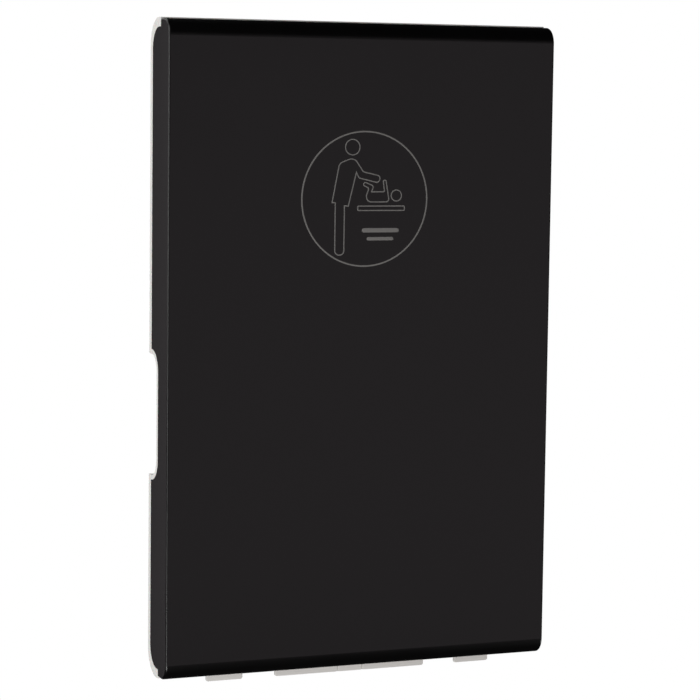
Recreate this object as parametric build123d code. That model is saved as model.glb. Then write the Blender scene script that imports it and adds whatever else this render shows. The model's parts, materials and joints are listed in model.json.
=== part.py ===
from build123d import *
import math
import os

# A wall-mounted fold-down changing table, folded shut. Millimetres.
# +X runs to the viewer's right, +Y into the wall and +Z up. The wall is the plane Y = 0, and the
# origin is the middle of the four wall bolts. A "depth" is measured back from the cover's face.
# "rim" is the edge of the bed that faces the wall, and "basin" is the hollow the child lies in.

# Overall
DEPTH = 112.0
COVER_WIDTH = 549.0
COVER_HEIGHT = 868.0
GAP = 0.3
BEYOND = 1.0

# Front cover, folded from sheet
SHEET = 1.2
COVER_BEND = 22.0
FOLD_RADIUS = 2.5
END_FLANGE = 34.6
SIDE_FLANGE = 70.0
CORNER_DROP = 10.4
CORNER_RADIUS = 28.0
GRIP_TOP = 1.0
GRIP_BOTTOM = -174.0
GRIP_DEPTH = 40.0
GRIP_LINING = 6.5
NOTCH_FRONT = 24.0
NOTCH_MARGIN = 2.5

# Bed tray
RIM_DEPTH = 80.0
RIM_HEIGHT = 872.0
RIM_CORNER = 36.0
TRAY_WALL = 4.0
TRAY_FRONT = 22.0
GRIP_INSIDE = 236.0
BASIN_WIDTH = 444.0
BASIN_LENGTH = 784.0
BASIN_CORNER = 60.0
BASIN_FLOOR = 26.0
BASIN_TAPER = 20.0
BASIN_FILLET = 18.0
RIM_SCREW_X = 247.0
RIM_SCREW_Z = (-330.0, 90.0, 330.0)
RIM_SCREW_SEAT = (2.5, 5.5)

# Hinge along the bottom edge
HINGE_DEPTH = 46.0
HINGE_Z = -433.0
HINGE_CLEARANCE = 21.0
HINGE_CLEARED = 209.5
PIN_RADIUS = 4.0
PIN_HALF = 191.5
BUSH_RADIUS = 6.0
RUNNING = 0.05
SEATED = 0.02
KNUCKLE_RADIUS = 7.5
BLOCK_FRONT = 34.9
BLOCK_BACK = 62.0
BLOCK_TOP = -423.0
BLOCK_BOTTOM = -445.4
BLOCK_EDGE = 0.8
LIP = 3.2
LIP_CORNER = 3.0
LIP_EDGE = 1.0
LIP_PROUD = 1.5
SIDE_BLOCK = (155.3, 206.7)
SIDE_ARM = (167.5, 194.5)
MIDDLE_BLOCK = (18.3, 109.0)
MIDDLE_ARM = (18.3, 96.5)
MIDDLE_KNUCKLE = 17.7
BARREL = (97.5, 166.5)
LEAF = (110.5, 153.5)
LEAF_TOP = -384.0
LEAF_THICKNESS = 3.0
LEAF_SCREW_Z = -396.0
LEAF_SCREW_INSET = 12.0

# Steel inside the bed
TUBE_Z = (-410.0, -383.0)
TUBE_DEPTH = (12.0, 38.5)
TUBE_HALF = 226.0
TUBE_WALL = 2.0
CHANNEL_X = (226.5, 264.0)
CHANNEL_Z = (-380.0, 400.0)
CHANNEL_BACK = 17.0
CHANNEL_WALL = 1.5

# Gas springs, one in each side of the bed
SPRING_X = 244.0
SPRING_DEPTH = 60.0
SPRING_Z = -419.0
SPRING_SLOT = 40.0
SPRING_SLOT_X = (229.0, 251.0)
ROD_RADIUS = 4.0
ROD_EYE_X = (240.0, 248.0)
PISTON_Z = (-322.0, -312.0)
CYLINDER_RADIUS = 9.0
CYLINDER_BORE = 7.6
CYLINDER_Z = (-370.0, -200.0)
GLAND = 10.0
STUD_RADIUS = 4.0
MOUNT_X = (232.0, 256.0)
MOUNT_PLATE = 4.0
ANCHOR_PLATE_X = (232.0, 235.0)
ANCHOR_FOOT_X = (206.0, 235.0)
ANCHOR_FOOT_Z = (-423.0, -414.0)
ANCHOR_ARM_Z = (-425.0, -413.0)

# Wall side: steel frame
BOLT_X = 203.2
BOLT_Z = 355.6
BOLT_HOLE = 4.5
PLATE = 3.0
ARM_TOP = -437.0
FRAME_FRONT = DEPTH - 2 * PLATE
RAIL_X = (178.0, 228.0)
RAIL_Z = (-448.4, 395.0)
CROSSBAR_HALF = 228.0
ANGLE_FRONT = 95.0
BOTTOM_BAR_Z = (-448.4, -414.0)
TOP_BAR_Z = (365.6, 395.0)
LINER_BARS_Z = ((84.0, 104.0), (256.0, 276.0))
RAIL_SCREWS = (
    (186.0, -421.0), (198.0, -421.0), (203.2, 94.0), (203.2, 266.0), (186.0, 386.0), (220.0, 386.0),
)
BLOCK_SCREW_DEPTH = 100.5
BLOCK_SCREW_X = (38.0, 77.0, 174.5, 187.5)

# Wall side: shell, bag hooks and liner box
SHELL_HALF = 250.0
SHELL_Z = (-432.0, 418.0)
SHELL_FRONT = 81.0
SHELL_WALL = 3.5
SHELL_CORNER = 30.0
SHELL_SCREW_Z = 120.0
SEAT_RADIUS = 14.0
SEAT_WALL = 4.0
BUMPER_X = 238.0
BUMPER_Z = (-300.0, 270.0)
BUMPER_PROUD = 0.8
BUMPER_STUD = 2.9
HOOK_X = 100.0
HOOK_Z = (330.0, 380.0)
HOOK_PLATE = 3.5
HOOK_TIP = 58.0
HOOK_SCREW_INSET = 10.0
LINER_X = 150.0
LINER_Z = (60.0, 300.0)
LINER_FRONT = 54.0
LINER_WALL = 2.5
LINER_SCREW_X = 110.0
COVER_LIP = 3.0

# Restraint strap across the basin
STRAP_Z = -20.0
STRAP_LIFT = 3.3
WEBBING = (38.0, 1.6)
BUCKLE = (60.0, 46.0, 12.0)
CLAMP_X = (156.0, 182.0)
CLAMP_HALF = 26.0
CLAMP_HEIGHT = 9.0
CLAMP_SCREW = (169.0, 22.5)

# Screw radii, and the extra radius of their holes
M4 = 2.0
M5 = 2.5
M6 = 3.0
HOLE_SLACK = 0.1

SIDES = (("left", -1), ("right", 1))


def y_at(depth):
    return depth - DEPTH


def block(x, depth, z):
    """A box between two x values, two depths and two heights."""
    middle = ((x[0] + x[1]) / 2, y_at((depth[0] + depth[1]) / 2), (z[0] + z[1]) / 2)
    return Pos(*middle) * Box(abs(x[1] - x[0]), depth[1] - depth[0], z[1] - z[0])


def mirrored(side, x):
    """The x range on the left (side -1) or the right (side 1)."""
    return tuple(sorted((side * x[0], side * x[1])))


def outline(corners, radii):
    """A closed face through (depth, z) corners, each with its own radius."""
    points = [(y_at(depth), z) for depth, z in corners]
    return make_face(FilletPolyline(*points, radius=radii, close=True))


def across(face, x):
    """Extrudes a side outline between two x values."""
    return extrude(Plane.YZ.offset(x[0]) * face, amount=x[1] - x[0])


def along_x(x, depth, z, radius):
    """A round bar along X."""
    turned = Rot(0, 90, 0) * Cylinder(radius, x[1] - x[0])
    return Pos((x[0] + x[1]) / 2, y_at(depth), z) * turned


def along_y(x, depth, z, radius):
    """A round bar along Y, between two depths."""
    turned = Rot(90, 0, 0) * Cylinder(radius, depth[1] - depth[0])
    return Pos(x, y_at((depth[0] + depth[1]) / 2), z) * turned


def along_z(x, depth, z, radius):
    """A round bar along Z, between two heights."""
    return Pos(x, y_at(depth), (z[0] + z[1]) / 2) * Cylinder(radius, z[1] - z[0])


def screw_solid(radius, length):
    """A button-head screw along Z, head up, with a hexagon socket."""
    height = 0.9 * radius
    head = Pos(0, 0, height / 2) * Cylinder(1.9 * radius, height)
    head = fillet(head.edges().filter_by(GeomType.CIRCLE).sort_by(Axis.Z)[-1:], 0.6 * radius)
    shank = Pos(0, 0, -length / 2) * Cylinder(radius, length)
    hexagon = extrude(RegularPolygon(0.8 * radius, 6), amount=0.45 * radius, both=True)
    return head + shank - Pos(0, 0, height) * hexagon


def screw(x, head_depth, z, radius, length, toward_wall):
    """A screw along Y, placed by the underside of its head."""
    turn = 90 if toward_wall else -90
    return Pos(x, y_at(head_depth), z) * Rot(turn, 0, 0) * screw_solid(radius, length)


def screw_hole(x, depth, z, radius):
    return along_y(x, depth, z, radius + HOLE_SLACK)


def grown(x, amount=BEYOND):
    """A range that runs past both its ends."""
    return (x[0] - amount, x[1] + amount)


def both_sides(x):
    return [side * x for _, side in SIDES]


def flange_outline(gap):
    """The side flange from the end flanges back, grown by a gap."""
    top = COVER_HEIGHT / 2 - CORNER_DROP + gap
    back = SIDE_FLANGE + gap
    corner = CORNER_RADIUS + gap
    corners = [(-1, -top), (back, -top), (back, top), (-1, top)]
    return outline(corners, [0, corner, corner, 0])


def grip_outline(lining):
    """The hand-grip cut-out, open to the back, shrunk by its lining."""
    front = GRIP_DEPTH + lining
    low, high = GRIP_BOTTOM + lining, GRIP_TOP - lining
    corner = SIDE_FLANGE - GRIP_DEPTH - 1 - lining
    back = RIM_DEPTH + 5
    corners = [(front, low), (back, low), (back, high), (front, high)]
    return outline(corners, [corner, 0, 0, corner])


def cover_block(inset):
    """The cover's outer or inner form, a block with rolled ends and folded sides."""
    half_x = COVER_WIDTH / 2 - inset
    half_z = COVER_HEIGHT / 2 - inset
    bend = COVER_BEND - inset
    back = SIDE_FLANGE + (2 if inset else 0)
    corners = [(inset, -half_z), (back, -half_z), (back, half_z), (inset, half_z)]
    form = across(outline(corners, [bend, 0, 0, bend]), (-half_x, half_x))
    folds = [
        edge
        for side in (form.faces().sort_by(Axis.X)[0], form.faces().sort_by(Axis.X)[-1])
        for edge in side.edges()
        if edge.center().Y < y_at(back) - 0.01
    ]
    return fillet(folds, FOLD_RADIUS - inset)


def make_front_cover():
    cover = cover_block(0) - cover_block(SHEET)
    wide = (-COVER_WIDTH, COVER_WIDTH)
    behind = block(wide, (END_FLANGE, SIDE_FLANGE + 5), (-COVER_HEIGHT, COVER_HEIGHT))
    kept = across(flange_outline(0) - grip_outline(0), wide)
    cover -= behind - kept
    low = -COVER_HEIGHT / 2
    for x in (mirrored(-1, SIDE_BLOCK), mirrored(1, SIDE_BLOCK), (-MIDDLE_BLOCK[1], MIDDLE_BLOCK[1])):
        notch = (NOTCH_FRONT, END_FLANGE + BEYOND)
        cover -= block(grown(x, NOTCH_MARGIN), notch, (low - BEYOND, low + SHEET + BEYOND))
    return cover


def basin_form(wall):
    """The basin, or the basin with its wall: a tapered hollow with rounded corners."""
    mouth = Plane((0, y_at(RIM_DEPTH), 0), x_dir=(1, 0, 0), z_dir=(0, -1, 0))
    slope = wall / math.cos(math.radians(BASIN_TAPER))
    sketch = RectangleRounded(
        BASIN_WIDTH + 2 * slope, BASIN_LENGTH + 2 * slope, BASIN_CORNER + slope
    )
    form = extrude(mouth * sketch, amount=RIM_DEPTH - BASIN_FLOOR + wall, taper=BASIN_TAPER)
    floor = form.faces().sort_by(Axis.Y)[0]
    return fillet(floor.edges(), BASIN_FILLET + wall)


def make_tray_shell():
    """The tray without its openings: rim, skirt behind the cover, side linings and basin."""
    half_x = COVER_WIDTH / 2
    half_z = RIM_HEIGHT / 2
    front = END_FLANGE + GAP
    corners = [(front, -half_z), (RIM_DEPTH, -half_z), (RIM_DEPTH, half_z), (front, half_z)]
    rim = across(outline(corners, [1, RIM_CORNER, RIM_CORNER, 1]), (-half_x, half_x))
    sheet_x = half_x - SHEET - GAP
    sheet_z = COVER_HEIGHT / 2 - SHEET - GAP
    recess = across(flange_outline(GAP) - grip_outline(GAP), grown((-half_x, half_x)))
    recess -= block((-sheet_x, sheet_x), (0, RIM_DEPTH), (-half_z, half_z))
    skirt = block((-sheet_x, sheet_x), (TRAY_FRONT, END_FLANGE + 5), (-sheet_z, sheet_z))
    inner_x = sheet_x - TRAY_WALL
    inner_z = sheet_z - TRAY_WALL
    inner_depth = (TRAY_FRONT - BEYOND, RIM_DEPTH - TRAY_WALL)
    hollow = block((-inner_x, inner_x), inner_depth, (-inner_z, inner_z))
    hollow = fillet(hollow.edges().filter_by(Axis.X).sort_by(Axis.Y)[-2:], RIM_CORNER - TRAY_WALL)
    for _, side in SIDES:
        lining = grip_outline(GRIP_LINING - TRAY_WALL)
        hollow -= across(lining, mirrored(side, (GRIP_INSIDE - TRAY_WALL, half_x)))
    return (rim - recess) + skirt - (hollow - basin_form(TRAY_WALL)) - basin_form(0)


def make_bed_tray():
    tray = make_tray_shell()
    for _, side in SIDES:
        grip = mirrored(side, (GRIP_INSIDE, COVER_WIDTH / 2 + BEYOND))
        tray -= across(grip_outline(GRIP_LINING), grip)
        tray -= along_x(mirrored(side, SPRING_SLOT_X), HINGE_DEPTH, HINGE_Z, SPRING_SLOT)
    tray -= along_x((-HINGE_CLEARED, HINGE_CLEARED), HINGE_DEPTH, HINGE_Z, HINGE_CLEARANCE)
    seat_depth, seat_radius = RIM_SCREW_SEAT
    for x, z in rim_screws():
        tray -= along_y(x, (RIM_DEPTH - seat_depth, RIM_DEPTH + BEYOND), z, seat_radius)
        tray -= screw_hole(x, (RIM_DEPTH - 2 * TRAY_WALL, RIM_DEPTH), z, M5)
    for x, z in clamp_screws():
        tray -= screw_hole(x, grown((BASIN_FLOOR - TRAY_WALL, BASIN_FLOOR)), z, M4)
    return tray


def rim_screws():
    """Places of the screws that hold the tray's rim."""
    return [(x, z) for x in both_sides(RIM_SCREW_X) for z in RIM_SCREW_Z]


def softened_ends(solid, radius):
    """Rounds the edges of a bar's two end faces across X."""
    faces = solid.faces().sort_by(Axis.X)
    return fillet([edge for face in (faces[0], faces[-1]) for edge in face.edges()], radius)


def hinge_lip(x):
    """A hinge block's front plate, with rounded corners."""
    lip = block(x, (BLOCK_FRONT, BLOCK_FRONT + LIP), (BLOCK_BOTTOM, BLOCK_TOP))
    lip = fillet(lip.edges().filter_by(Axis.Y), LIP_CORNER)
    return fillet(lip.faces().sort_by(Axis.Y)[0].edges(), LIP_EDGE)


def make_hinge_block(lip_x, arm_x):
    """A front plate, the block that carries the pin, and an arm back to the wall frame."""
    front = BLOCK_FRONT + LIP_PROUD
    corners = [
        (front, BLOCK_BOTTOM), (FRAME_FRONT, BLOCK_BOTTOM), (FRAME_FRONT, ARM_TOP),
        (BLOCK_BACK, ARM_TOP), (BLOCK_BACK, BLOCK_TOP), (front, BLOCK_TOP),
    ]
    arm = softened_ends(across(outline(corners, [0, 1, 1, 2, 5, 0]), arm_x), BLOCK_EDGE)
    arm -= along_x(grown(arm_x), HINGE_DEPTH, HINGE_Z, PIN_RADIUS + RUNNING)
    for x, _ in block_screw_places():
        if arm_x[0] < x < arm_x[1]:
            arm -= along_z(x, BLOCK_SCREW_DEPTH, grown((BLOCK_BOTTOM, ARM_TOP)), M5 + HOLE_SLACK)
    return hinge_lip(lip_x) + arm


def block_screw_places():
    return [(side * x, BLOCK_SCREW_DEPTH) for _, side in SIDES for x in BLOCK_SCREW_X]


def make_hinge_leaf(side):
    """A rolled knuckle with a flat leaf bolted behind the bed's cross tube."""
    front = TUBE_DEPTH[1]
    barrel = mirrored(side, BARREL)
    leaf = along_x(barrel, HINGE_DEPTH, HINGE_Z, KNUCKLE_RADIUS)
    leaf += block(mirrored(side, LEAF), (front, front + LEAF_THICKNESS), (HINGE_Z, LEAF_TOP))
    leaf -= along_x(grown(barrel), HINGE_DEPTH, HINGE_Z, BUSH_RADIUS + SEATED)
    for x in leaf_screws():
        leaf -= screw_hole(x, grown((front, front + LEAF_THICKNESS)), LEAF_SCREW_Z, M6)
    return leaf


def leaf_screws():
    """The x places of the screws through both leaves and the middle knuckle."""
    inner, outer = LEAF[0] + LEAF_SCREW_INSET, LEAF[1] - LEAF_SCREW_INSET
    return sorted(both_sides(inner) + both_sides(outer) + [0.0])


def make_middle_knuckle():
    x = (-MIDDLE_KNUCKLE, MIDDLE_KNUCKLE)
    front = BLOCK_FRONT + LIP_PROUD
    tab = (TUBE_DEPTH[1], TUBE_DEPTH[1] + 2 * LEAF_THICKNESS)
    corners = [
        (front, BLOCK_BOTTOM), (BLOCK_BACK, BLOCK_BOTTOM), (BLOCK_BACK, BLOCK_TOP), (front, BLOCK_TOP),
    ]
    knuckle = softened_ends(across(outline(corners, [0, 5, 5, 0]), x), BLOCK_EDGE) + hinge_lip(x)
    knuckle += block(grown(x, -BEYOND), tab, (BLOCK_TOP - 5, LEAF_TOP))
    knuckle -= along_x(grown(x), HINGE_DEPTH, HINGE_Z, BUSH_RADIUS + SEATED)
    return knuckle - screw_hole(0, grown(tab), LEAF_SCREW_Z, M6)


def make_bush(x):
    bush = along_x(x, HINGE_DEPTH, HINGE_Z, BUSH_RADIUS)
    return bush - along_x(grown(x), HINGE_DEPTH, HINGE_Z, PIN_RADIUS + RUNNING)


def make_bed_tube():
    """A rectangular steel tube across the bed, behind the cover's bottom."""
    x = (-TUBE_HALF, TUBE_HALF)
    tube = fillet(block(x, TUBE_DEPTH, TUBE_Z).edges().filter_by(Axis.X), 3)
    tube -= block(x, grown(TUBE_DEPTH, -TUBE_WALL), grown(TUBE_Z, -TUBE_WALL))
    for place in leaf_screws():
        tube -= screw_hole(place, (TUBE_DEPTH[1] - 3, TUBE_DEPTH[1] + BEYOND), LEAF_SCREW_Z, M6)
    return tube


def make_bed_rail(side):
    """A channel that stiffens the cover's side, open towards the wall."""
    front = SHEET + GAP
    channel = block(mirrored(side, CHANNEL_X), (front, CHANNEL_BACK), CHANNEL_Z)
    inside = mirrored(side, grown(CHANNEL_X, -CHANNEL_WALL))
    return channel - block(inside, (front + CHANNEL_WALL, CHANNEL_BACK + BEYOND), CHANNEL_Z)


def make_gas_cylinder(side):
    x = side * SPRING_X
    low, high = CYLINDER_Z
    body = along_z(x, SPRING_DEPTH, CYLINDER_Z, CYLINDER_RADIUS)
    body = fillet(body.edges().filter_by(GeomType.CIRCLE), 1.5)
    body -= along_z(x, SPRING_DEPTH, (low + GLAND, high - 6), CYLINDER_BORE)
    body -= along_z(x, SPRING_DEPTH, (low - BEYOND, low + GLAND + BEYOND), ROD_RADIUS + RUNNING)
    return body + along_z(x, SPRING_DEPTH, (high - BEYOND, high + 14), STUD_RADIUS)


def make_spring_mount(side):
    """The shelf on the bed's rail that holds the top of a gas spring."""
    x = mirrored(side, MOUNT_X)
    low = CYLINDER_Z[1]
    front = SHEET + GAP + CHANNEL_WALL
    shelf = block(x, (front, SPRING_DEPTH + 10), (low, low + MOUNT_PLATE))
    foot = block(x, (front, front + MOUNT_PLATE), (low - 22, low))
    hole = along_z(side * SPRING_X, SPRING_DEPTH, grown((low, low + MOUNT_PLATE)), STUD_RADIUS + RUNNING)
    return shelf + foot - hole


def make_spring_nut(side):
    """A hexagon nut on the cylinder's stud, above the shelf."""
    x = side * SPRING_X
    z = (CYLINDER_Z[1] + MOUNT_PLATE, CYLINDER_Z[1] + MOUNT_PLATE + 6)
    nut = Pos(x, y_at(SPRING_DEPTH), z[0]) * extrude(RegularPolygon(7.5, 6), amount=z[1] - z[0])
    return nut - along_z(x, SPRING_DEPTH, grown(z), STUD_RADIUS + SEATED)


def make_gas_rod(side):
    """Rod with its piston, and an eye whose oval hole takes up the anchor's sideways swing."""
    x = side * SPRING_X
    eye_x = mirrored(side, ROD_EYE_X)
    swing = SPRING_Z - HINGE_Z
    reach = math.hypot(swing, swing) - swing
    travel = (SPRING_DEPTH, SPRING_DEPTH + reach)
    height = (SPRING_Z, SPRING_Z)
    eye = block(eye_x, grown(travel, 8.5), grown(height, 9.5))
    eye = fillet(eye.edges().filter_by(Axis.X), 6)
    hole = block(eye_x, grown(travel, ROD_RADIUS + 0.6), grown(height, ROD_RADIUS + 1.2))
    eye -= fillet(hole.edges().filter_by(Axis.X), ROD_RADIUS)
    rod = along_z(x, SPRING_DEPTH, (SPRING_Z + 7, PISTON_Z[0]), ROD_RADIUS)
    return eye + rod + along_z(x, SPRING_DEPTH, PISTON_Z, CYLINDER_BORE - RUNNING)


def make_spring_anchor(side):
    """Bracket from the wall frame, through the shell, to the spring's fixed pin by the hinge."""
    plate = mirrored(side, ANCHOR_PLATE_X)
    foot = block(mirrored(side, ANCHOR_FOOT_X), (FRAME_FRONT - PLATE, FRAME_FRONT), ANCHOR_FOOT_Z)
    arm = block(plate, (SPRING_DEPTH, FRAME_FRONT), ANCHOR_ARM_Z)
    arm += along_x(plate, SPRING_DEPTH, SPRING_Z, 2 * ROD_RADIUS)
    pin_x = mirrored(side, (ANCHOR_PLATE_X[1] - BEYOND, ROD_EYE_X[1] + 1.5))
    pin = along_x(pin_x, SPRING_DEPTH, SPRING_Z, ROD_RADIUS)
    x, z = anchor_screw(side)
    return foot + arm + pin - screw_hole(x, (FRAME_FRONT - 2 * PLATE, DEPTH), z, M4)


def anchor_screw(side):
    return (side * (ANCHOR_FOOT_X[0] + 7), (ANCHOR_FOOT_Z[0] + ANCHOR_FOOT_Z[1]) / 2)


def make_shell_skin():
    """The hollow back panel without its holes, open to the wall."""
    x = (-SHELL_HALF, SHELL_HALF)
    outer = block(x, (SHELL_FRONT, DEPTH), SHELL_Z)
    outer = fillet(outer.edges().filter_by(Axis.Y), SHELL_CORNER)
    outer = fillet(outer.faces().sort_by(Axis.Y)[0].edges(), 5)
    depth = (SHELL_FRONT + SHELL_WALL, DEPTH + BEYOND)
    inner = block(grown(x, -SHELL_WALL), depth, grown(SHELL_Z, -SHELL_WALL))
    return outer - fillet(inner.edges().filter_by(Axis.Y), SHELL_CORNER - SHELL_WALL)


def make_wall_shell():
    """The back panel with its deep seats for the wall bolts."""
    shell = make_shell_skin()
    for x, z in bolt_places():
        shell += along_y(x, (SHELL_FRONT + 2, DEPTH - PLATE), z, SEAT_RADIUS + SEAT_WALL)
        shell -= along_y(x, (SHELL_FRONT - BEYOND, DEPTH - PLATE - 5), z, SEAT_RADIUS)
        shell -= along_y(x, (SHELL_FRONT, DEPTH), z, BOLT_HOLE)
    skin = (SHELL_FRONT - BEYOND, SHELL_FRONT + SHELL_WALL + BEYOND)
    shell -= block(grown((-LINER_X, LINER_X), 0.4), skin, grown(LINER_Z, 0.4))
    below = SHELL_Z[0] - BEYOND
    frame_slot = grown((-CROSSBAR_HALF, CROSSBAR_HALF), 9)
    shell -= block(frame_slot, (FRAME_FRONT - 0.4, DEPTH + BEYOND), (below, BOTTOM_BAR_Z[1] + BEYOND))
    for _, side in SIDES:
        plate = mirrored(side, grown(ANCHOR_PLATE_X, 0.6))
        shell -= block(plate, (skin[0], DEPTH + BEYOND), (below, SPRING_Z + 9))
        foot = mirrored(side, grown(ANCHOR_FOOT_X, 0.6))
        shell -= block(foot, (FRAME_FRONT - 2 * PLATE, DEPTH + BEYOND), (below, ANCHOR_FOOT_Z[1] + BEYOND))
    for x, z in bumper_places():
        shell -= along_y(x, skin, z, BUMPER_STUD + HOLE_SLACK)
    for x, z in shell_screw_places():
        shell -= screw_hole(x, skin, z, M5)
    for x, z in hook_screws():
        shell -= screw_hole(x, skin, z, M4)
    return shell


def bolt_places():
    return [(x, z) for x in both_sides(BOLT_X) for z in (-BOLT_Z, BOLT_Z)]


def bumper_places():
    return [(x, z) for x in both_sides(BUMPER_X) for z in BUMPER_Z]


def shell_screw_places():
    return [(x, z) for x in both_sides(BOLT_X) for z in (-SHELL_SCREW_Z, SHELL_SCREW_Z)]


def hook_screws():
    return [(x, z) for x in both_sides(HOOK_X) for z in grown(HOOK_Z, -HOOK_SCREW_INSET)]


def rail_screw_places():
    return [(side * x, z) for _, side in SIDES for x, z in RAIL_SCREWS]


def liner_screws():
    return [(x, (z[0] + z[1]) / 2) for x in both_sides(LINER_SCREW_X) for z in LINER_BARS_Z]


def drilled_frame(steel):
    """A piece of the wall frame with the holes of every screw that crosses it."""
    depth = (FRAME_FRONT - BEYOND, DEPTH + BEYOND)
    for x, z in rail_screw_places():
        steel -= screw_hole(x, depth, z, M5)
    for x, z in liner_screws() + [anchor_screw(-1), anchor_screw(1)]:
        steel -= screw_hole(x, depth, z, M4)
    for x, z in bolt_places():
        steel -= along_y(x, (FRAME_FRONT + PLATE - BEYOND, DEPTH + BEYOND), z, BOLT_HOLE)
    return steel


def make_wall_rail(side):
    return drilled_frame(block(mirrored(side, RAIL_X), (DEPTH - PLATE, DEPTH), RAIL_Z))


def crossbar(z):
    return block((-CROSSBAR_HALF, CROSSBAR_HALF), (FRAME_FRONT, DEPTH - PLATE), z)


def make_bottom_crossbar():
    """An angle: the hinge blocks' arms stand on its lower flange."""
    flange = (BOTTOM_BAR_Z[0], BLOCK_BOTTOM)
    angle = crossbar(BOTTOM_BAR_Z)
    angle += block((-CROSSBAR_HALF, CROSSBAR_HALF), (ANGLE_FRONT, FRAME_FRONT + BEYOND), flange)
    for x, depth in block_screw_places():
        angle -= along_z(x, depth, grown(flange), M5 + HOLE_SLACK)
    return drilled_frame(angle)


def make_top_crossbar():
    """A flat bar, notched round the seats of the upper wall bolts."""
    bar = crossbar(TOP_BAR_Z)
    for x, z in bolt_places():
        bar -= along_y(x, (FRAME_FRONT - BEYOND, DEPTH), z, SEAT_RADIUS + SEAT_WALL + 0.4)
    return drilled_frame(bar)


def make_standoffs():
    """Spacers that carry the shell's front skin off the rails, one behind each shell screw."""
    posts = []
    for x, z in shell_screw_places():
        post = along_y(x, (SHELL_FRONT + SHELL_WALL, DEPTH - PLATE), z, 7)
        posts.append(post - screw_hole(x, (SHELL_FRONT, SHELL_FRONT + 16), z, M5))
    return posts


def make_liner_box():
    """A tray for folded paper liners, open to the front."""
    outer = block((-LINER_X, LINER_X), (LINER_FRONT, FRAME_FRONT), LINER_Z)
    outer = fillet(outer.edges().filter_by(Axis.Y), 6)
    inner = block(
        grown((-LINER_X, LINER_X), -LINER_WALL),
        (LINER_FRONT - BEYOND, FRAME_FRONT - LINER_WALL),
        grown(LINER_Z, -LINER_WALL),
    )
    box = outer - fillet(inner.edges().filter_by(Axis.Y), 4)
    for x, z in liner_screws():
        box -= screw_hole(x, grown((FRAME_FRONT - LINER_WALL, FRAME_FRONT)), z, M4)
    return box


def make_liner_cover():
    """A front plate with side lips that slide on the box, and a rounded slot for the liners."""
    outside = grown((-LINER_X, LINER_X), COVER_LIP)
    front = LINER_FRONT - 0.5
    cover = block(outside, (front - COVER_LIP, LINER_FRONT + 7), grown(LINER_Z, COVER_LIP))
    cover = fillet(cover.edges().filter_by(Axis.Y), 8)
    cover = fillet(cover.faces().sort_by(Axis.Y)[0].edges(), 1.5)
    open_below = (LINER_Z[0] - 10, LINER_Z[1] + 0.4)
    inside = block(grown((-LINER_X, LINER_X), 0.4), (front, LINER_FRONT + 8), open_below)
    slot = Rot(90, 0, 0) * extrude(SlotOverall(180, 34), amount=5, both=True)
    return cover - inside - Pos(0, y_at(front), LINER_Z[0] + 60) * slot


def make_bag_hook(side):
    """A plate with an upturned arm."""
    x = (side * HOOK_X, side * HOOK_X)
    plate = block(grown(x, 11), (SHELL_FRONT - HOOK_PLATE, SHELL_FRONT), HOOK_Z)
    plate = fillet(plate.edges().filter_by(Axis.Y), 8)
    back, tip = SHELL_FRONT - 2, HOOK_TIP
    low, high = HOOK_Z[0] + 17, HOOK_Z[0] + 37
    path = [(back, low + 5), (back, low), (tip, low), (tip, high), (tip + 5, high), (tip + 5, low + 5)]
    hook = plate + across(outline(path, [0, 1.5, 8, 2.4, 2.4, 3]), grown(x, 7))
    for place, z in hook_screws():
        hook -= screw_hole(place, grown((SHELL_FRONT - HOOK_PLATE, SHELL_FRONT)), z, M4)
    return hook


def make_bumpers():
    """Rubber buttons that stop the bed's rim short of the shell, each on a stud."""
    return [
        along_y(x, (SHELL_FRONT - BUMPER_PROUD, SHELL_FRONT), z, 9)
        + along_y(x, (SHELL_FRONT, SHELL_FRONT + SHELL_WALL + 1.5), z, BUMPER_STUD)
        for x, z in bumper_places()
    ]


def basin_block(x, lift, z):
    """A box lying on the basin's floor, between two heights above it."""
    return block(x, (BASIN_FLOOR + lift[0], BASIN_FLOOR + lift[1]), z)


def strap_z(half):
    """A z range centred on the strap."""
    return (STRAP_Z - half, STRAP_Z + half)


def rounded_plate(x, lift, z, corner, edge):
    """A plate on the basin's floor with rounded corners and a rounded upper edge."""
    plate = basin_block(x, lift, z)
    if corner:
        plate = fillet(plate.edges().filter_by(Axis.Y), corner)
    return fillet(plate.faces().sort_by(Axis.Y)[-1].edges(), edge)


def webbing_path(x, slack):
    """The space that the webbing takes inside a fitting."""
    lift = (STRAP_LIFT - slack, STRAP_LIFT + WEBBING[1] + slack)
    return basin_block(x, lift, strap_z(WEBBING[0] / 2 + slack))


def make_strap(side):
    x = mirrored(side, (BUCKLE[0] / 2 + 0.4, CLAMP_X[1] - 6))
    return webbing_path(x, 0)


def make_strap_clamps():
    """Two plates that clamp the webbing's ends to the basin's floor."""
    clamps = []
    for _, side in SIDES:
        clamp = rounded_plate(mirrored(side, CLAMP_X), (0, CLAMP_HEIGHT), strap_z(CLAMP_HALF), 0, 2)
        clamp -= webbing_path(mirrored(side, (CLAMP_X[0] - 6, CLAMP_X[1] - 5)), 0.3)
        for x, z in clamp_screws():
            clamp -= screw_hole(x, grown((BASIN_FLOOR, BASIN_FLOOR + CLAMP_HEIGHT)), z, M4)
        clamps.append(clamp)
    return clamps


def clamp_screws():
    return [(x, z) for x in both_sides(CLAMP_SCREW[0]) for z in strap_z(CLAMP_SCREW[1])]


def make_buckle_body():
    body_x = (-BUCKLE[0] / 2, 8.0)
    body = rounded_plate(body_x, (0.4, 0.4 + BUCKLE[2]), strap_z(BUCKLE[1] / 2), 6, 2)
    throat = basin_block((-8, 9), (3, 9), strap_z(16))
    well = basin_block((-23, -9.6), (6, 20), strap_z(10.4))
    return body - throat - well


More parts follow.
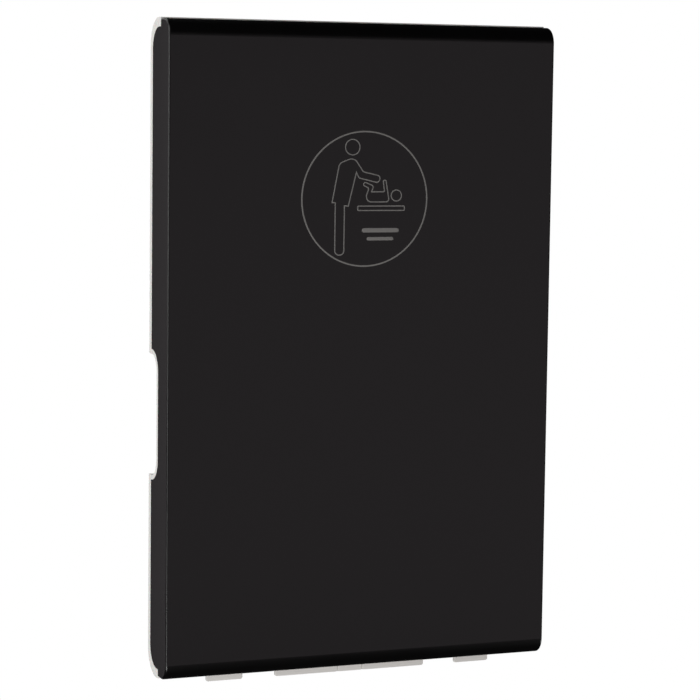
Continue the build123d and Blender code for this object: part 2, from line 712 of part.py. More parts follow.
def make_buckle_tongue():
    blade = basin_block((-7.5, 14), (3.4, 8.6), strap_z(15.6))
    return blade + rounded_plate((8.5, BUCKLE[0] / 2), (0.4, 11), strap_z(BUCKLE[1] / 2), 4, 2)


def make_buckle_button():
    return rounded_plate((-22.6, -10), (9, 13.2), strap_z(10), 0, 1)


def make_strap_adjuster():
    """A flat slide around the webbing."""
    slide = rounded_plate((84, 112), (1.6, 6.6), strap_z(24), 3, 1)
    return slide - webbing_path((80, 116), 0.2)


def make_pin_cap(side):
    x = mirrored(side, (PIN_HALF + 0.2, SIDE_ARM[1] - 0.2))
    return along_x(x, HINGE_DEPTH, HINGE_Z, PIN_RADIUS)


def left_and_right(name, maker):
    return {f"{name}_{word}": maker(side) for word, side in SIDES}


def make_screws():
    """Each group of identical screws, placed by the face under their heads."""
    leaf_back = TUBE_DEPTH[1] + LEAF_THICKNESS
    upright = screw_solid(M5, ARM_TOP - BOTTOM_BAR_Z[0] - 0.1)
    return {
        "leaf_screws": [
            screw(x, leaf_back + (0 if x else LEAF_THICKNESS), LEAF_SCREW_Z, M6, 9, False)
            for x in leaf_screws()
        ],
        "rim_screws": [screw(x, RIM_DEPTH - RIM_SCREW_SEAT[0], z, M5, 6, False) for x, z in rim_screws()],
        "clamp_screws": [screw(x, BASIN_FLOOR + CLAMP_HEIGHT, z, M4, 12, False) for x, z in clamp_screws()],
        "shell_screws": [screw(x, SHELL_FRONT, z, M5, 14, True) for x, z in shell_screw_places()],
        "hook_screws": [screw(x, SHELL_FRONT - HOOK_PLATE, z, M4, 9, True) for x, z in hook_screws()],
        "rail_screws": [screw(x, FRAME_FRONT, z, M5, 2 * PLATE - 0.1, True) for x, z in rail_screw_places()],
        "liner_screws": [screw(x, FRAME_FRONT - LINER_WALL, z, M4, 5.4, True) for x, z in liner_screws()],
        "anchor_screws": [
            screw(x, FRAME_FRONT - PLATE, z, M4, 3 * PLATE - 0.1, True) for x, z in map(anchor_screw, (-1, 1))
        ],
        "block_screws": [Pos(x, y_at(depth), ARM_TOP) * upright for x, depth in block_screw_places()],
    }


def build():
    """Every sub-part by name."""
    parts = {
        "front_cover": make_front_cover(),
        "bed_tray": make_bed_tray(),
        "bed_cross_tube": make_bed_tube(),
        "bed_knuckle_middle": make_middle_knuckle(),
        "hinge_pin": along_x((-PIN_HALF, PIN_HALF), HINGE_DEPTH, HINGE_Z, PIN_RADIUS),
        "hinge_bush_middle": make_bush((-MIDDLE_KNUCKLE, MIDDLE_KNUCKLE)),
        "wall_shell": make_wall_shell(),
        "wall_crossbar_bottom": make_bottom_crossbar(),
        "wall_crossbar_top": make_top_crossbar(),
        "liner_box_bars": [drilled_frame(crossbar(z)) for z in LINER_BARS_Z],
        "shell_standoffs": make_standoffs(),
        "shell_bumpers": make_bumpers(),
        "liner_box": make_liner_box(),
        "liner_cover": make_liner_cover(),
        "liner_stack": block((-125, 125), (68, 100), (LINER_Z[0] + 4, LINER_Z[1] - 30)),
        "strap_clamps": make_strap_clamps(),
        "strap_adjuster": make_strap_adjuster(),
        "buckle_body": make_buckle_body(),
        "buckle_tongue": make_buckle_tongue(),
        "buckle_button": make_buckle_button(),
    }
    makers = {
        "bed_rail": make_bed_rail,
        "gas_cylinder": make_gas_cylinder,
        "gas_rod": make_gas_rod,
        "spring_mount": make_spring_mount,
        "spring_nut": make_spring_nut,
        "spring_anchor": make_spring_anchor,
        "wall_rail": make_wall_rail,
        "bag_hook": make_bag_hook,
        "strap": make_strap,
        "pin_cap": make_pin_cap,
        "hinge_leaf": make_hinge_leaf,
        "hinge_bush": lambda side: make_bush(mirrored(side, BARREL)),
        "hinge_block": lambda side: make_hinge_block(mirrored(side, SIDE_BLOCK), mirrored(side, SIDE_ARM)),
        "hinge_block_middle": lambda side: make_hinge_block(
            mirrored(side, MIDDLE_BLOCK), mirrored(side, MIDDLE_ARM)
        ),
    }
    for name, maker in makers.items():
        parts.update(left_and_right(name, maker))
    parts.update(make_screws())
    return parts


os.makedirs("parts", exist_ok=True)
for name, shape in build().items():
    if isinstance(shape, list):
        shape = Compound(shape)
    export_step(shape, f"parts/{name}.step")
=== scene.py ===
import json
import math
import random

import bmesh
import bpy
from mathutils import Matrix, Vector


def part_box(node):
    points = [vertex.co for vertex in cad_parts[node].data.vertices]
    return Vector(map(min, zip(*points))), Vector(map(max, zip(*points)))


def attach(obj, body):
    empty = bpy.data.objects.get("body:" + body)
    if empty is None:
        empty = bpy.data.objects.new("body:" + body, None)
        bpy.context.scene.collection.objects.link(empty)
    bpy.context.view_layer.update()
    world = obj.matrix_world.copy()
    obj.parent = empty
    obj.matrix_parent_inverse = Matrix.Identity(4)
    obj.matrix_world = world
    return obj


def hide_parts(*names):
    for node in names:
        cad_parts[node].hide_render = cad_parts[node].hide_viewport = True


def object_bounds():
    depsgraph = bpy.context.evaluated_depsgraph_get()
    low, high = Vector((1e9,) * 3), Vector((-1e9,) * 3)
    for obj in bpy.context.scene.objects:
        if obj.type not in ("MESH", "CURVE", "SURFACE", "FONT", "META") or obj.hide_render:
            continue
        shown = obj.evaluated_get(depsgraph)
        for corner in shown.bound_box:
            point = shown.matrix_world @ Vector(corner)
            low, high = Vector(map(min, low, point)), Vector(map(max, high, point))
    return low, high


# The looks of a wall-mounted fold-down changing table, folded shut. Metres, in the row's frame:
# +X to the viewer's right, +Y into the wall, +Z up.

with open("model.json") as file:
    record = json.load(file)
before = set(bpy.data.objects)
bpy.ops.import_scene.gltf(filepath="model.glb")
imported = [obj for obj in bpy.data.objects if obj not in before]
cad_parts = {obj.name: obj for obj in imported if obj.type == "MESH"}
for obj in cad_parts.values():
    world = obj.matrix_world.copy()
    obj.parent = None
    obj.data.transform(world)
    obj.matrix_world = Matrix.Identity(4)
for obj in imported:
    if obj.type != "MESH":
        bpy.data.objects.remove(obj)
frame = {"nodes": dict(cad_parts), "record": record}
CAD_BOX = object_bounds()
COVER_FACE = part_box("front_cover")[0].y

MM = 0.001


# ---------------------------------------------------------------- materials

class Shader:
    """A node material with a few short ways to add noise, colour and bump."""

    def __init__(self, name, roughness=0.5, metallic=0.0, **sockets):
        self.material = bpy.data.materials.new(name)
        self.material.use_nodes = True
        self.tree = self.material.node_tree
        self.bsdf = self.tree.nodes["Principled BSDF"]
        self.coords = self.add("ShaderNodeTexCoord").outputs["Object"]
        self.normal = None
        sockets.update({"Roughness": roughness, "Metallic": metallic})
        for socket, value in sockets.items():
            self.bsdf.inputs[socket.replace("_", " ")].default_value = value

    def add(self, kind, **settings):
        node = self.tree.nodes.new(kind)
        for key, value in settings.items():
            setattr(node, key, value)
        return node

    def link(self, source, target):
        self.tree.links.new(source, target)

    def stretched(self, stretch):
        mapping = self.add("ShaderNodeMapping")
        mapping.inputs["Scale"].default_value = stretch
        self.link(self.coords, mapping.inputs["Vector"])
        return mapping.outputs["Vector"]

    def noise(self, scale, detail=3.0, roughness=0.5, stretch=(1, 1, 1)):
        node = self.add("ShaderNodeTexNoise")
        node.inputs["Scale"].default_value = scale
        node.inputs["Detail"].default_value = detail
        node.inputs["Roughness"].default_value = roughness
        self.link(self.stretched(stretch), node.inputs["Vector"])
        return node.outputs["Fac"]

    def cells(self, scale):
        node = self.add("ShaderNodeTexVoronoi")
        node.inputs["Scale"].default_value = scale
        self.link(self.coords, node.inputs["Vector"])
        return node

    def waves(self, axis, scale):
        node = self.add("ShaderNodeTexWave", wave_type="BANDS", bands_direction=axis, wave_profile="SIN")
        node.inputs["Scale"].default_value = scale
        self.link(self.coords, node.inputs["Vector"])
        return node.outputs["Fac"]

    def mapped(self, source, low, high, from_high=1.0):
        node = self.add("ShaderNodeMapRange")
        node.inputs["From Max"].default_value = from_high
        node.inputs["To Min"].default_value = low
        node.inputs["To Max"].default_value = high
        self.link(source, node.inputs["Value"])
        return node.outputs["Result"]

    def mixed(self, factor, first, second):
        node = self.add("ShaderNodeMix", data_type="RGBA")
        self.link(factor, node.inputs["Factor"])
        for socket, colour in (("A", first), ("B", second)):
            target = next(i for i in node.inputs if i.name == socket and i.type == "RGBA")
            if isinstance(colour, tuple):
                target.default_value = (*colour, 1.0)
            else:
                self.link(colour, target)
        return next(o for o in node.outputs if o.type == "RGBA")

    def colour(self, source):
        self.link(source, self.bsdf.inputs["Base Color"])

    def rough(self, source, low, high):
        self.link(self.mapped(source, low, high), self.bsdf.inputs["Roughness"])

    def bump(self, height, strength, distance):
        node = self.add("ShaderNodeBump")
        node.inputs["Strength"].default_value = strength
        node.inputs["Distance"].default_value = distance
        self.link(height, node.inputs["Height"])
        if self.normal:
            self.link(self.normal, node.inputs["Normal"])
        self.normal = node.outputs["Normal"]
        self.link(self.normal, self.bsdf.inputs["Normal"])


def powder_coat():
    """Satin black powder coat: a very fine orange peel with faint drifts of gloss."""
    shader = Shader("satin_black_coat", roughness=0.26, Specular_IOR_Level=0.5)
    drift = shader.noise(6.0, detail=2.0)
    shader.colour(shader.mixed(drift, (0.0006, 0.0005, 0.0005), (0.0010, 0.0008, 0.0009)))
    shader.rough(shader.noise(14.0, detail=4.0), 0.23, 0.29)
    shader.bump(shader.noise(420.0, detail=2.0), 0.10, 0.00012)
    shader.bump(shader.noise(2600.0, detail=1.0), 0.12, 0.00003)
    return shader.material


def moulded(name, colour, shade, roughness, grain=0.18, scatter=0.0):
    """Injection-moulded plastic: fine spark grain and a slow drift of shade and gloss."""
    sockets = {}
    if scatter:
        sockets = {"Subsurface_Weight": scatter, "Subsurface_Scale": 0.002}
    shader = Shader(name, roughness=roughness, **sockets)
    gloss_drift = 0.06
    shader.colour(shader.mixed(shader.noise(9.0), colour, shade))
    shader.rough(shader.noise(35.0, detail=5.0), roughness - gloss_drift, roughness + gloss_drift)
    shader.bump(shader.cells(1400.0).outputs["Distance"], grain, 0.00006)
    shader.bump(shader.noise(90.0, detail=2.0), 0.06, 0.0003)
    return shader.material


def zinc_plate():
    """Bright zinc plate with a soft spangle and rolled streaks."""
    shader = Shader("zinc_plate", roughness=0.45, metallic=0.6)
    spangle = shader.cells(160.0).outputs["Color"]
    tone = shader.mixed(spangle, (0.50, 0.51, 0.53), (0.64, 0.65, 0.66))
    shader.colour(shader.mixed(shader.noise(12.0, detail=6.0), tone, (0.55, 0.54, 0.50)))
    shader.rough(shader.noise(60.0, detail=6.0, stretch=(1, 1, 0.1)), 0.36, 0.56)
    shader.bump(shader.noise(900.0, detail=3.0, stretch=(1, 1, 0.06)), 0.12, 0.00004)
    return shader.material


def stainless(name, stretch):
    """Bright stainless steel, brushed along the axis that is left unstretched."""
    shader = Shader(name, roughness=0.24, metallic=1.0)
    streaks = shader.noise(700.0, detail=4.0, stretch=stretch)
    shader.colour(shader.mixed(streaks, (0.60, 0.59, 0.57), (0.72, 0.71, 0.69)))
    shader.rough(streaks, 0.16, 0.34)
    shader.bump(streaks, 0.15, 0.00002)
    return shader.material


def gloss_black_paint():
    shader = Shader("gloss_black_paint", roughness=0.16, Coat_Weight=0.6, Coat_Roughness=0.06)
    shader.colour(shader.mixed(shader.noise(20.0), (0.012, 0.012, 0.012), (0.020, 0.020, 0.021)))
    shader.bump(shader.noise(300.0, detail=2.0), 0.08, 0.0001)
    return shader.material


def rubber():
    shader = Shader("black_rubber", roughness=0.82)
    shader.colour(shader.mixed(shader.noise(50.0, detail=5.0), (0.018, 0.018, 0.018), (0.032, 0.031, 0.030)))
    shader.bump(shader.noise(1500.0, detail=3.0), 0.3, 0.00008)
    return shader.material


def webbing_weave():
    """Polypropylene webbing: ribs along the strap crossed by the weft, with a soft sheen."""
    shader = Shader("webbing_weave", roughness=0.62, Sheen_Weight=0.35, Sheen_Roughness=0.4)
    ribs = shader.waves("Z", 95.0)
    weft = shader.waves("X", 190.0)
    checks = shader.add("ShaderNodeMath", operation="MULTIPLY")
    shader.link(ribs, checks.inputs[0])
    shader.link(weft, checks.inputs[1])
    yarn = shader.mapped(checks.outputs["Value"], 0.0, 1.0, from_high=0.8)
    shader.colour(shader.mixed(yarn, (0.010, 0.010, 0.011), (0.050, 0.050, 0.054)))
    shader.bump(checks.outputs["Value"], 0.6, 0.0004)
    shader.bump(shader.noise(2200.0, detail=2.0), 0.25, 0.0001)
    return shader.material


def thread():
    shader = Shader("thread", roughness=0.6, Sheen_Weight=0.3)
    twist = shader.waves("DIAGONAL", 900.0)
    shader.colour(shader.mixed(twist, (0.10, 0.10, 0.105), (0.22, 0.22, 0.23)))
    shader.bump(twist, 0.5, 0.0001)
    return shader.material


def crepe_paper():
    shader = Shader("crepe_paper", roughness=0.9, Subsurface_Weight=0.05, Subsurface_Scale=0.001)
    fibre = shader.noise(260.0, detail=8.0, roughness=0.7)
    shader.colour(shader.mixed(fibre, (0.74, 0.73, 0.70), (0.83, 0.82, 0.80)))
    shader.bump(shader.noise(420.0, detail=4.0, stretch=(0.25, 1, 1)), 0.5, 0.0004)
    return shader.material


def printed_ink():
    """The grey ink of the printed symbol, a little uneven where the screen print thins."""
    shader = Shader("printed_grey_ink", roughness=0.5)
    wear = shader.noise(500.0, detail=4.0)
    shader.colour(shader.mixed(wear, (0.155, 0.150, 0.143), (0.195, 0.188, 0.180)))
    shader.bump(wear, 0.1, 0.00003)
    return shader.material


# one material for each slot of the record
MATERIALS = {
    "black_coating": powder_coat(),
    "white_moulding": moulded("white_moulding", (0.83, 0.82, 0.785), (0.79, 0.78, 0.745), 0.48, scatter=0.06),
    "hinge_grey": moulded("hinge_grey", (0.72, 0.70, 0.67), (0.67, 0.65, 0.62), 0.42),
    "grey_plastic": moulded("grey_plastic", (0.30, 0.30, 0.30), (0.35, 0.35, 0.35), 0.5),
    "black_plastic": moulded("black_plastic", (0.018, 0.018, 0.018), (0.026, 0.026, 0.026), 0.45, grain=0.3),
    "red_plastic": moulded("red_plastic", (0.42, 0.022, 0.016), (0.36, 0.018, 0.014), 0.4),
    "nylon": moulded("natural_nylon", (0.74, 0.71, 0.62), (0.68, 0.65, 0.56), 0.4, scatter=0.1),
    "zinc_steel": zinc_plate(),
    "bright_steel": stainless("bright_stainless", (1, 1, 0.05)),
    "black_paint": gloss_black_paint(),
    "black_rubber": rubber(),
    "webbing": webbing_weave(),
    "paper": crepe_paper(),
}
THREAD = thread()


def paint(piece, material):
    piece.data.materials.clear()
    piece.data.materials.append(material)


def dress_cad_nodes():
    """Gives every CAD node the material of its slot."""
    for entry in frame["record"]["subparts"]:
        paint(frame["nodes"][entry["node"]], MATERIALS[entry["material_slot"]])


def add_piece(name, mesh, body, material):
    piece = bpy.data.objects.new(name, mesh)
    bpy.context.scene.collection.objects.link(piece)
    paint(piece, material)
    for polygon in mesh.polygons:
        polygon.use_smooth = True
    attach(piece, body)
    return piece


# ---------------------------------------------------------------- printed symbol

# Places within the symbol are (x, z) from its centre.
SYMBOL_CENTRE = (-0.9 * MM, 201.3 * MM)
RING_RADIUS = 90.5 * MM
RING_LINE = 2.1 * MM
FIGURE_LINE = 1.55 * MM
INK_HEIGHT = 0.07 * MM
INK_ROOT = 0.02 * MM


def arc(centre, radius, start, end, steps):
    """Points along an arc, from one angle to another, in degrees."""
    angles = [math.radians(start + (end - start) * i / steps) for i in range(steps + 1)]
    return [(centre[0] + radius * math.cos(a), centre[1] + radius * math.sin(a)) for a in angles]


def rounded(corners, radii, steps=8):
    """A closed outline with its corners rounded, each by its own radius."""
    points = []
    for i, corner in enumerate(corners):
        here = Vector(corner)
        before = (Vector(corners[i - 1]) - here).normalized()
        after = (Vector(corners[(i + 1) % len(corners)]) - here).normalized()
        half_turn = before.angle(after) / 2
        radius = radii[i]
        if radius == 0:
            points.append(tuple(here))
            continue
        reach = radius / math.tan(half_turn)
        start, end = here + before * reach, here + after * reach
        middle = here + (before + after).normalized() * (radius / math.sin(half_turn))
        first = math.atan2(start.y - middle.y, start.x - middle.x)
        turn = math.atan2(end.y - middle.y, end.x - middle.x) - first
        turn = (turn + math.pi) % (2 * math.pi) - math.pi
        for k in range(steps + 1):
            angle = first + turn * k / steps
            points.append((middle.x + radius * math.cos(angle), middle.y + radius * math.sin(angle)))
    return points


def ink_vertex(bm, x, z, height):
    """A vertex of the symbol, this high above the cover's face."""
    return bm.verts.new((SYMBOL_CENTRE[0] + x, COVER_FACE - height, SYMBOL_CENTRE[1] + z))


def ink_line(bm, points, width):
    """A low printed bead that follows a closed outline on the cover's face."""
    count = len(points)
    profile = [(-0.5, 0.0), (-0.42, 0.8), (0.0, 1.0), (0.42, 0.8), (0.5, 0.0)]
    sharpest_mitre = 0.35
    rings = []
    for i in range(count):
        here = Vector(points[i])
        ahead = (Vector(points[(i + 1) % count]) - here).normalized()
        behind = (here - Vector(points[i - 1])).normalized()
        along = (ahead + behind).normalized()
        across = Vector((-along.y, along.x)) / max(sharpest_mitre, along.dot(ahead))
        ring = []
        for side, height in profile:
            spot = here + across * side * width
            ring.append(ink_vertex(bm, spot.x, spot.y, (INK_HEIGHT + INK_ROOT) * height - INK_ROOT))
        rings.append(ring)
    for i in range(count):
        ring, following = rings[i], rings[(i + 1) % count]
        for k in range(len(profile) - 1):
            bm.faces.new((ring[k], ring[k + 1], following[k + 1], following[k]))
        bm.faces.new((ring[-1], ring[0], following[0], following[-1]))


def ink_bar(bm, centre, half_length, thickness):
    """A filled bar with round ends and a slightly smaller top, measured in millimetres."""
    radius = thickness / 2
    outer = arc((centre[0] + half_length - radius, centre[1]), radius, -90, 90, 10)
    outer += arc((centre[0] - half_length + radius, centre[1]), radius, 90, 270, 10)
    inner = [(centre[0] + (x - centre[0]) * 0.96, centre[1] + (z - centre[1]) * 0.8) for x, z in outer]
    rims = []
    for points, height in ((outer, -INK_ROOT), (inner, INK_HEIGHT)):
        rims.append([ink_vertex(bm, x, z, height) for x, z in scaled(points)])
    for i in range(len(outer)):
        j = (i + 1) % len(outer)
        bm.faces.new((rims[0][i], rims[0][j], rims[1][j], rims[1][i]))
    bm.faces.new(rims[1])
    bm.faces.new(rims[0])


def scaled(points):
    return [(x * MM, z * MM) for x, z in points]


def make_symbol():
    """A generic changing pictogram: an adult beside a child on a table, inside a ring."""
    bm = bmesh.new()
    ink_line(bm, arc((0, 0), RING_RADIUS - RING_LINE / 2, 0, 360, 128)[:-1], RING_LINE)
    ink_line(bm, scaled(arc((-18.2, 68.7), 10.3, 0, 360, 40)[:-1]), FIGURE_LINE)
    adult = [
        (-36.7, 47.6), (-15.7, 55.1), (-2.7, 36), (23, 30.5), (19, 21.5), (-8.7, 28), (-12.7, 35.5),
        (-23.7, -9.5), (-29.2, -9), (-29.2, -74.5), (-42.2, -74.5), (-42.2, -5), (-46.7, -4.5),
    ]
    ink_line(bm, scaled(rounded(adult, [9, 10, 5, 4.2, 4.2, 3, 0, 0, 0, 6.2, 6.2, 0, 0])), FIGURE_LINE)
    ink_line(bm, scaled(arc((45.2, 4.6), 7.4, 0, 360, 36)[:-1]), FIGURE_LINE)
    child = [
        (1, -3.9), (35, -3.9), (30, 25), (26, 25.5), (28, 9.6), (9.5, 9.6), (12.5, 17.2),
        (-1, 22.8), (-2.5, 18.3), (6, 14.2), (2.5, 6.2),
    ]
    ink_line(bm, scaled(rounded(child, [7, 4, 2, 2, 1, 0, 3, 2.4, 2.2, 3, 3])), FIGURE_LINE)
    table = [(-10, -15.3), (57, -15.3), (57, -9.4), (-10, -9.4)]
    ink_line(bm, scaled(rounded(table, [1, 1, 1, 1])), FIGURE_LINE)
    ink_bar(bm, (22.9, -41.7), 27, 6.2)
    ink_bar(bm, (22.5, -53), 19.5, 4.9)
    mesh = bpy.data.meshes.new("front_symbol")
    bmesh.ops.recalc_face_normals(bm, faces=bm.faces)
    bm.to_mesh(mesh)
    bm.free()
    add_piece("front_symbol", mesh, "bed", printed_ink())


# ---------------------------------------------------------------- strap and paper liners

STRAP_LOW, STRAP_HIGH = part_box("strap_right")
STRAP_MIDDLE = (STRAP_LOW.z + STRAP_HIGH.z) / 2
STRAP_HALF_WIDTH = (STRAP_HIGH.z - STRAP_LOW.z) / 2
STRAP_THICKNESS = STRAP_HIGH.y - STRAP_LOW.y
STRAP_LEVEL = (STRAP_LOW.y + STRAP_HIGH.y) / 2
SELVEDGE_WAVE = 0.18 * MM
SEWN_FROM = 33 * MM
SEWN_LIFT = 1.62 * MM
TAIL_FROM = 112.5 * MM
TAIL_TO = 150 * MM
TAIL_LIFT = 1.75 * MM
TAIL_CURL = 1.4 * MM
STITCH_PITCH = 2.6 * MM
STITCH_RADII = (1.15 * MM, 0.34 * MM, 0.4 * MM, 1)


def smooth_step(value):
    value = min(1.0, max(0.0, value))
    return value * value * (3 - 2 * value)


def band_mesh(name, stations):
    """Webbing through a list of (x, y) stations: a flat band with thin, slightly wavy selvedges."""
    profile = []
    steps = 14
    for side in (1, -1):
        for k in range(steps + 1):
            across = side * (1 - 2 * k / steps)
            fullness = (1 - abs(across) ** 8) * 0.42 + 0.08
            profile.append((across, side * fullness))
    bm = bmesh.new()
    rings = []
    for x, y in stations:
        ring = []
        for across, lift in profile:
            wave = SELVEDGE_WAVE * abs(across) ** 4 * math.sin(x / MM * 0.9 + across * 2)
            place = (x, y + lift * STRAP_THICKNESS, STRAP_MIDDLE + across * STRAP_HALF_WIDTH + wave)
            ring.append(bm.verts.new(place))
        rings.append(ring)
    for first, second in zip(rings, rings[1:]):
        for k in range(len(profile)):
            m = (k + 1) % len(profile)
            bm.faces.new((first[k], first[m], second[m], second[k]))
    bm.faces.new(rings[0])
    bm.faces.new(rings[-1])
    bmesh.ops.recalc_face_normals(bm, faces=bm.faces)
    mesh = bpy.data.meshes.new(name)
    bm.to_mesh(mesh)
    bm.free()
    return mesh


def strap_stations(start, end, lift=0.0, ripple=0.0, count=70):
    """Stations from one x to another, flat near both ends, with an optional ripple between them."""
    stations = []
    for i in range(count + 1):
        t = i / count
        free = smooth_step(min(t, 1 - t) * 5)
        stations.append((start + (end - start) * t, STRAP_LEVEL + lift + ripple * free * math.sin(t * 11)))
    return stations


def stitch_row(bm, start, end, level):
    """A row of short thread stitches between two (x, z) points."""
    start, end = Vector(start), Vector(end)
    along = (end - start).normalized()
    turn = Matrix.Rotation(-math.atan2(along.y, along.x), 4, "Y")
    shape = turn @ Matrix.Diagonal(STITCH_RADII)
    count = max(2, round((end - start).length / STITCH_PITCH))
    for i in range(count):
        middle = start + (end - start) * ((i + 0.5) / count)
        place = Matrix.Translation((middle.x, level, middle.y))
        bmesh.ops.create_uvsphere(bm, u_segments=8, v_segments=6, radius=1, matrix=place @ shape)


def make_strap(side):
    """One half of the webbing, its end sewn back on itself beside the buckle, and the thread."""
    word = "left" if side < 0 else "right"
    inner, outer = side * STRAP_LOW.x, side * STRAP_HIGH.x
    if side < 0:
        sewn_to = 74 * MM
        runs = [strap_stations(inner, outer, ripple=0.25 * MM)]
    else:
        sewn_to = 78 * MM
        tail = strap_stations(TAIL_FROM, TAIL_TO, lift=TAIL_LIFT, count=24)
        curl_from, curl_over = 122 * MM, 28 * MM
        runs = [
            strap_stations(inner, outer),
            [(x, y + TAIL_CURL * smooth_step((x - curl_from) / curl_over)) for x, y in tail],
        ]
    runs.append(strap_stations(side * SEWN_FROM, side * sewn_to, lift=SEWN_LIFT, count=30))
    for number, run in enumerate(runs):
        mesh = band_mesh(f"webbing_{word}_{number}", run)
        add_piece(mesh.name, mesh, "bed", MATERIALS["webbing"])
    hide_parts(f"strap_{word}")
    make_stitching(word, side * (SEWN_FROM + 6 * MM), side * (sewn_to - 4 * MM))


def make_stitching(word, x_from, x_to):
    """The thread that holds the sewn end: a box of stitches with a cross in it."""
    top = STRAP_LEVEL + SEWN_LIFT + 0.42 * STRAP_THICKNESS
    low, high = STRAP_MIDDLE - 14 * MM, STRAP_MIDDLE + 14 * MM
    corners = [(x_from, low), (x_to, low), (x_to, high), (x_from, high)]
    bm = bmesh.new()
    for k in range(4):
        stitch_row(bm, corners[k], corners[(k + 1) % 4], top)
    stitch_row(bm, corners[0], corners[2], top)
    stitch_row(bm, corners[1], corners[3], top)
    mesh = bpy.data.meshes.new(f"stitching_{word}")
    bm.to_mesh(mesh)
    bm.free()
    add_piece(mesh.name, mesh, "bed", THREAD)


def make_liners():
    """A stack of paper liners, each folded once, with its fold at the bottom."""
    low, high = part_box("liner_stack")
    sheets = 22
    rows, columns_across = 10, 14
    pitch = (high.y - low.y) / sheets
    gap = pitch * 0.27
    chance = random.Random(7)
    bm = bmesh.new()
    for sheet in range(sheets):
        y = low.y + pitch * (sheet + 0.5)
        shift = chance.uniform(-1.2, 1.2) * MM
        drop = chance.uniform(0.2, 2.4) * MM
        curl = chance.uniform(-0.2, 0.2) * pitch
        height = high.z - low.z - 3 * MM - drop
        profile = [(-gap, low.z + drop + height * (1 - k / rows)) for k in range(rows)]
        profile += [
            (-gap * math.cos(math.radians(a)), low.z + drop + gap - gap * math.sin(math.radians(a)))
            for a in range(0, 181, 30)
        ]
        profile += [(gap, low.z + drop + height * k / rows) for k in range(1, rows + 1)]
        columns = []
        for i in range(columns_across + 1):
            t = i / columns_across
            x = low.x + 2 * MM + (high.x - low.x - 4 * MM) * t + shift
            lean = curl * math.cos(t * math.pi * 2)
            columns.append([
                bm.verts.new((x, y + offset + lean * (z - low.z) / height, z)) for offset, z in profile
            ])
        for first, second in zip(columns, columns[1:]):
            for k in range(len(profile) - 1):
                bm.faces.new((first[k], first[k + 1], second[k + 1], second[k]))
    mesh = bpy.data.meshes.new("paper_liners")
    bm.to_mesh(mesh)
    bm.free()
    stack = add_piece("paper_liners", mesh, "wall_unit", MATERIALS["paper"])
    thickness = stack.modifiers.new("paper_thickness", "SOLIDIFY")
    thickness.thickness = 0.12 * MM
    thickness.offset = 0
    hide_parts("liner_stack")


# ---------------------------------------------------------------- stage, lights and camera

FLOOR_DROP = 1.25
FLOOR_REACH = 9
ROOM_SHADE = 0.012
FLOOR_SHADE = 0.04
CARD_FRONT_TINT = (1.0, 0.905, 0.95)
CARD_REAR_TINT = (1.0, 0.92, 0.96)
LENS = 126.32
CAMERA_PLACE = (-1.2164, -3.1504, 0.3224)
CAMERA_YAW = 21.50
CAMERA_PITCH = -5.642
CAMERA_ROLL = 0.723


def camera_only(tree, seen, unseen, output):
    """Joins two shaders so that the camera sees one, and reflections and light the other."""
    path = tree.nodes.new("ShaderNodeLightPath")
    mix = tree.nodes.new("ShaderNodeMixShader")
    tree.links.new(path.outputs["Is Camera Ray"], mix.inputs["Fac"])
    tree.links.new(unseen, mix.inputs[1])
    tree.links.new(seen, mix.inputs[2])
    tree.links.new(mix.outputs["Shader"], output)


def make_world():
    world = bpy.data.worlds.new("studio")
    world.use_nodes = True
    bpy.context.scene.world = world
    tree = world.node_tree
    tree.nodes.clear()
    output = tree.nodes.new("ShaderNodeOutputWorld")
    white = tree.nodes.new("ShaderNodeBackground")
    white.inputs["Color"].default_value = (1, 1, 1, 1)
    dim = tree.nodes.new("ShaderNodeBackground")
    dim.inputs["Color"].default_value = (ROOM_SHADE, ROOM_SHADE, ROOM_SHADE, 1)
    camera_only(tree, white.outputs[0], dim.outputs[0], output.inputs["Surface"])


def make_floor():
    mesh = bpy.data.meshes.new("floor")
    z = CAD_BOX[0][2] - FLOOR_DROP
    corners = [(x * FLOOR_REACH, y * FLOOR_REACH, z) for x, y in ((-1, -1), (1, -1), (1, 1), (-1, 1))]
    mesh.from_pydata(corners, [], [(0, 1, 2, 3)])
    floor = bpy.data.objects.new("floor", mesh)
    bpy.context.scene.collection.objects.link(floor)
    material = bpy.data.materials.new("pale_floor")
    material.use_nodes = True
    tree = material.node_tree
    tree.nodes.clear()
    output = tree.nodes.new("ShaderNodeOutputMaterial")
    glow = tree.nodes.new("ShaderNodeEmission")
    glow.inputs["Color"].default_value = (1, 1, 1, 1)
    matte = tree.nodes.new("ShaderNodeBsdfDiffuse")
    matte.inputs["Color"].default_value = (FLOOR_SHADE, FLOOR_SHADE, FLOOR_SHADE, 1)
    camera_only(tree, glow.outputs[0], matte.outputs[0], output.inputs["Surface"])
    mesh.materials.append(material)


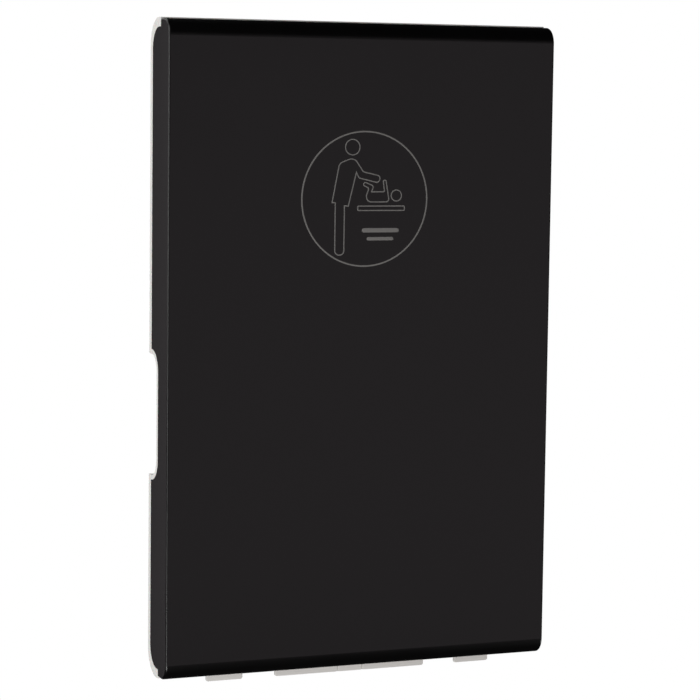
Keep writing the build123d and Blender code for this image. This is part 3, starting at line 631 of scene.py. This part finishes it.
def area_light(name, place, target, size, power, colour=(1, 1, 1)):
    """A soft panel at a place, turned to its target; its size is width and height."""
    light = bpy.data.lights.new(name, "AREA")
    light.shape = "RECTANGLE"
    light.size, light.size_y = size
    light.energy = power
    light.color = colour
    lamp = bpy.data.objects.new(name, light)
    bpy.context.scene.collection.objects.link(lamp)
    lamp.location = place
    lamp.rotation_euler = (Vector(target) - Vector(place)).to_track_quat("-Z", "Y").to_euler()


def make_lights():
    """Soft lights all round. The satin black faces mirror each one as a broad sheen or not at all."""
    centre = (0, -0.06, 0)
    low_edge = (0, -0.06, -0.44)
    area_light("key_high_left", (-2.6, -1.4, 2.7), centre, (3.6, 3.2), 62)
    area_light("side_left", (-3.0, 0.4, 0.7), centre, (1.6, 2.0), 22)
    area_light("strip_left", (-2.6, -1.9, -0.3), (0, -0.06, -0.3), (0.8, 2.6), 32)
    area_light("low_left", (-1.0, -1.8, -1.45), low_edge, (0.9, 0.5), 28)
    area_light("low_right", (2.0, -0.9, -1.45), low_edge, (0.9, 0.5), 10)
    area_light("card_front_right", (1.45, -3.6, -0.65), (0.1, -0.1, -0.65), (3.4, 3.6), 15.2, CARD_FRONT_TINT)
    area_light("card_rear_left", (-2.0, 2.6, -0.2), (-0.27, -0.05, 0), (1.6, 2.2), 4.1, CARD_REAR_TINT)
    area_light("rear_high_left", (-1.2, 1.8, 2.2), centre, (2.6, 2.6), 21)


def make_camera():
    data = bpy.data.cameras.new("camera")
    data.lens = LENS
    data.sensor_width = 36.0
    camera = bpy.data.objects.new("camera", data)
    bpy.context.scene.collection.objects.link(camera)
    turn = Matrix.Rotation(math.radians(-CAMERA_YAW), 4, "Z")
    turn @= Matrix.Rotation(math.radians(90 + CAMERA_PITCH), 4, "X")
    turn @= Matrix.Rotation(math.radians(CAMERA_ROLL), 4, "Z")
    camera.matrix_world = Matrix.Translation(CAMERA_PLACE) @ turn
    bpy.context.scene.camera = camera


bpy.context.scene.view_settings.view_transform = "Standard"
make_camera()
dress_cad_nodes()
make_symbol()
make_strap(-1)
make_strap(1)
make_liners()
make_world()
make_floor()
make_lights()
